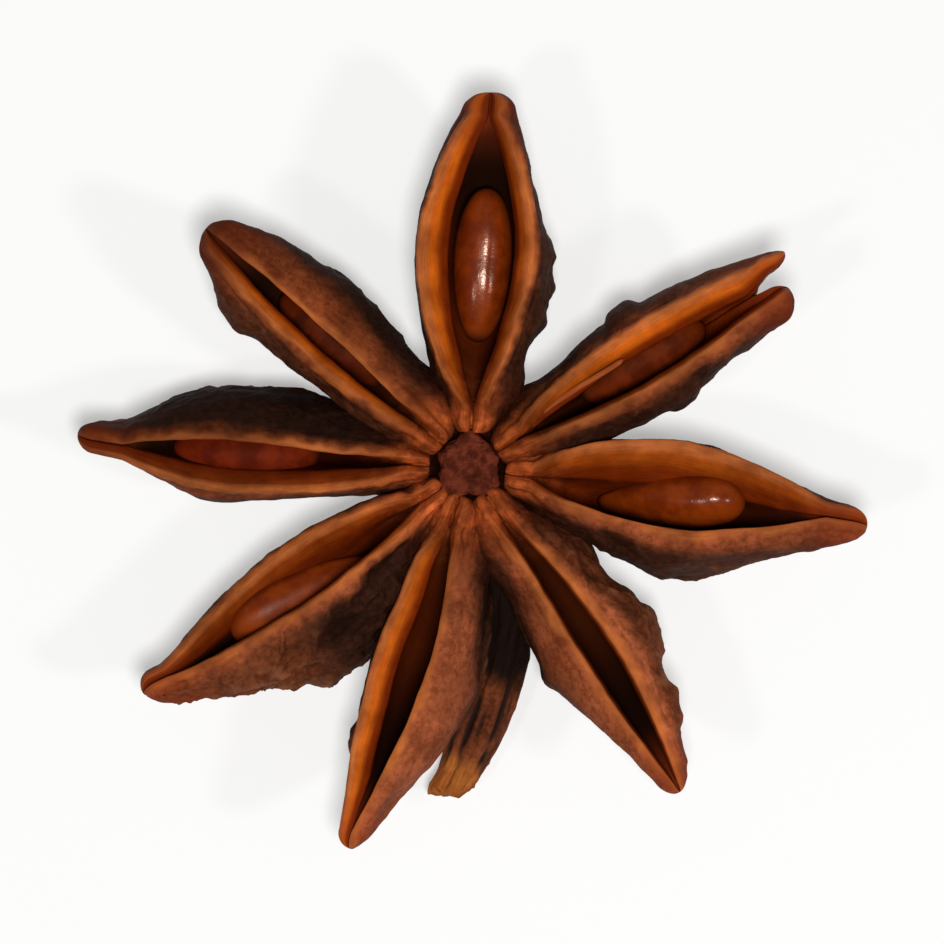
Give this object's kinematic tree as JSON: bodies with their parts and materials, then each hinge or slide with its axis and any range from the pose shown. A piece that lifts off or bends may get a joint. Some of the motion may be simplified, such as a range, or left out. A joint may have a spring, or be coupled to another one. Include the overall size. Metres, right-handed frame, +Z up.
{
  "type": "star anise pod",
  "caption": "Dried star anise: boat-shaped woody seed cases joined in a star, each split along its top, some with a glossy seed inside, with a bent stalk beneath.",
  "frame": {"origin": "centre of the star's bounding box, at table height, where the keels of the lowest seed cases rest", "axes": "+Z up, out of the split sides of the seed cases; +X along the star's longest extent; the stalk points towards -Y"},
  "size_m": [0.037, 0.0354, 0.0071],
  "materials": {
    "pod": "dry, wrinkled and dark outside, smooth and slightly glossy orange brown inside the cases",
    "seed": "smooth, hard and glossy red brown"
  },
  "bodies": {
    "root": {"pod": "pod", "seed_a": "seed", "seed_b": "seed", "seed_c": "seed", "seed_f": "seed", "seed_g": "seed", "seed_h": "seed"}
  },
  "joints": []
}
